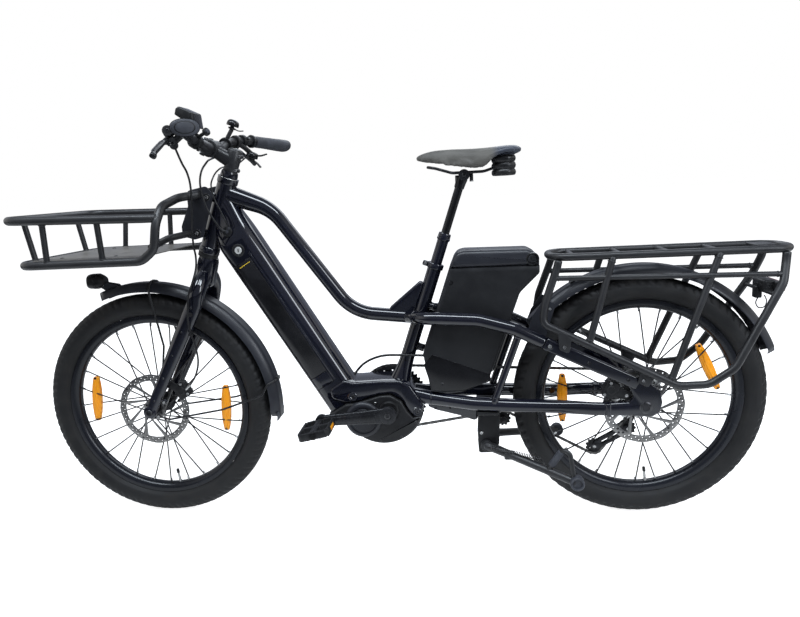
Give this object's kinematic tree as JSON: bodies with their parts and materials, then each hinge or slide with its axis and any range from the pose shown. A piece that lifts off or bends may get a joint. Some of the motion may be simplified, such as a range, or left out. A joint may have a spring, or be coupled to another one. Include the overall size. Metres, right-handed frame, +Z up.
{
  "type": "electric cargo bicycle",
  "caption": "Electric cargo bike: low step frame, mid motor, down tube and seat tube batteries, front basket on the frame, long rear rack.",
  "frame": {"origin": "on the ground, midway along the whole bicycle, in its middle plane", "axes": "+Z up, -X towards the front wheel, -Y towards the side with the brake discs, +Y towards the chain"},
  "size_m": [1.9665, 0.727, 1.0998],
  "materials": {
    "gloss_frame": "gloss paint",
    "matte_black": "matte powder coat",
    "satin_guard": "satin moulding",
    "plastic": "fine grained moulding",
    "case_plastic": "fine grained moulding",
    "dark_steel": "dark satin",
    "rim_black": "black anodised",
    "steel": "ground",
    "dark_alloy": "black anodised",
    "tyre": "matte",
    "rubber": "matte",
    "saddle_skin": "smooth cover",
    "floor_board": "coated board",
    "glass": "gloss",
    "lamp_red": "gloss lens"
  },
  "bodies": {
    "frame": {"main_frame": "gloss_frame", "rear_frame_left": "gloss_frame", "rear_frame_right": "gloss_frame", "motor": "plastic", "basket_frame": "matte_black", "basket_floor": "floor_board", "rack_deck": "matte_black", "rack_side_left": "matte_black", "rack_side_right": "matte_black", "rear_mudguard": "satin_guard", "tail_light": "lamp_red", "rear_caliper": "dark_alloy", "stand_bracket": "dark_alloy", "seatpost_outer": "dark_alloy", "rear_battery_case": "case_plastic", "derailleur_body": "dark_alloy", "chain": "dark_steel", "motor_cable": "rubber", "rear_brake_hose": "rubber", "shift_cable": "rubber"},
    "steering": {"fork": "gloss_frame", "stem": "dark_alloy", "handlebar": "dark_alloy", "grip_left": "rubber", "grip_right": "rubber", "display": "glass", "bell": "dark_alloy", "brake_body_left": "dark_alloy", "brake_body_right": "dark_alloy", "front_mudguard": "satin_guard", "front_caliper": "dark_alloy", "front_brake_hose": "rubber"},
    "front_wheel": {"front_tyre": "tyre", "front_rim": "rim_black", "front_spokes_hub": "dark_steel", "front_brake_disc": "steel"},
    "rear_wheel": {"rear_tyre": "tyre", "rear_rim": "rim_black", "rear_spokes_hub": "dark_steel", "rear_brake_disc": "steel"},
    "sprockets": {"cassette": "dark_steel"},
    "crankset": {"crank_left": "dark_alloy", "crank_right": "dark_alloy"},
    "left_pedal": {"pedal_left": "plastic"},
    "right_pedal": {"pedal_right": "plastic"},
    "down_tube_battery": {"main_battery": "case_plastic"},
    "down_tube_lock": {"main_lock": "steel"},
    "seat_tube_battery": {"rear_battery": "case_plastic"},
    "seat_tube_lock": {"rear_lock": "steel"},
    "seat": {"seatpost_inner": "dark_alloy", "saddle": "saddle_skin", "saddle_rails": "dark_steel"},
    "left_brake_lever": {"brake_lever_left": "dark_alloy"},
    "right_brake_lever": {"brake_lever_right": "dark_alloy"},
    "gear_lever": {"shift_lever": "plastic"},
    "bell_striker": {"bell_lever": "plastic"},
    "remote_key": {"remote_button": "plastic"},
    "lamp": {"headlight": "plastic"},
    "chain_arm": {"derailleur_cage": "dark_alloy"},
    "centre_stand": {"stand": "dark_alloy"}
  },
  "joints": [
    {"name": "steering_turn", "type": "hinge", "parent": "frame", "child": "steering", "pos_m": [-0.47509, 0, 0.74072], "axis": [0.3665, 0, 0.9304], "range_deg": [-60, 60], "deforming": ["front_brake_hose", "rear_brake_hose", "shift_cable"]},
    {"name": "front_wheel_spin", "type": "hinge", "parent": "steering", "child": "front_wheel", "pos_m": [-0.66525, 0, 0.318], "axis": [0, 1, 0], "continuous": true},
    {"name": "rear_wheel_spin", "type": "hinge", "parent": "frame", "child": "rear_wheel", "pos_m": [0.63475, 0, 0.318], "axis": [0, 1, 0], "continuous": true},
    {"name": "crank_spin", "type": "hinge", "parent": "frame", "child": "crankset", "pos_m": [-0.00925, 0, 0.309], "axis": [0, 1, 0], "continuous": true, "deforming": ["chain"]},
    {"name": "sprocket_spin", "type": "hinge", "parent": "frame", "child": "sprockets", "pos_m": [0.63475, 0, 0.318], "axis": [0, 1, 0], "continuous": true},
    {"name": "left_pedal_spin", "type": "hinge", "parent": "crankset", "child": "left_pedal", "pos_m": [-0.18382, 0, 0.2968], "axis": [0, 1, 0], "continuous": true},
    {"name": "right_pedal_spin", "type": "hinge", "parent": "crankset", "child": "right_pedal", "pos_m": [0.16532, 0, 0.3212], "axis": [0, 1, 0], "continuous": true},
    {"name": "main_battery_slide", "type": "slide", "parent": "frame", "child": "down_tube_battery", "axis": [0, -1, 0], "range_m": [0, 0.09]},
    {"name": "main_lock_turn", "type": "hinge", "parent": "frame", "child": "down_tube_lock", "pos_m": [-0.37872, -0.042, 0.74652], "axis": [0, -1, 0], "range_deg": [0, 90]},
    {"name": "rear_battery_lift", "type": "slide", "parent": "frame", "child": "seat_tube_battery", "axis": [0.3289, 0, 0.9444], "range_m": [0, 0.12]},
    {"name": "rear_lock_turn", "type": "hinge", "parent": "seat_tube_battery", "child": "seat_tube_lock", "pos_m": [0.36775, -0.046, 0.695], "axis": [0, -1, 0], "range_deg": [0, 90]},
    {"name": "seat_drop", "type": "slide", "parent": "frame", "child": "seat", "axis": [0.3289, 0, 0.9444], "range_m": [-0.1, 0]},
    {"name": "left_brake_pull", "type": "hinge", "parent": "steering", "child": "left_brake_lever", "pos_m": [-0.4515, -0.21523, 1.01238], "axis": [-0.7157, -0.2125, 0.6653], "range_deg": [0, 16], "stiffness_Nm_per_rad": 1.5, "springref_deg": -2.86},
    {"name": "right_brake_pull", "type": "hinge", "parent": "steering", "child": "right_brake_lever", "pos_m": [-0.4515, 0.21523, 1.01238], "axis": [0.7157, -0.2125, -0.6653], "range_deg": [0, 16], "stiffness_Nm_per_rad": 1.5, "springref_deg": -2.86},
    {"name": "gear_lever_push", "type": "hinge", "parent": "steering", "child": "gear_lever", "pos_m": [-0.40074, 0.195, 0.98434], "axis": [0.3665, 0, 0.9304], "range_deg": [0, 20], "stiffness_Nm_per_rad": 0.4, "springref_deg": -5.73},
    {"name": "bell_lever_pull", "type": "hinge", "parent": "steering", "child": "bell_striker", "pos_m": [-0.41815, 0.111, 1.06466], "axis": [0.3665, 0, 0.9304], "range_deg": [0, 25], "stiffness_Nm_per_rad": 0.15, "springref_deg": -11.46},
    {"name": "remote_key_press", "type": "slide", "parent": "steering", "child": "remote_key", "axis": [-0.867, 0.3743, -0.3289], "range_m": [0, 0.0012], "stiffness_N_per_m": 400, "springref_m": -0.0003},
    {"name": "lamp_tilt", "type": "hinge", "parent": "steering", "child": "lamp", "pos_m": [-0.78095, 0, 0.6638], "axis": [0, 1, 0], "range_deg": [-12, 12]},
    {"name": "chain_arm_swing", "type": "hinge", "parent": "frame", "child": "chain_arm", "pos_m": [0.62675, 0, 0.21], "axis": [0, 1, 0], "range_deg": [-8, 8], "stiffness_Nm_per_rad": 1.2, "deforming": ["chain"]},
    {"name": "stand_swing", "type": "hinge", "parent": "frame", "child": "centre_stand", "pos_m": [0.24275, 0, 0.203], "axis": [0, 1, 0], "range_deg": [0, 70]}
  ],
  "couplings": [
    {"joint": "sprocket_spin", "follows": "crank_spin", "ratio": 1.6429}
  ]
}
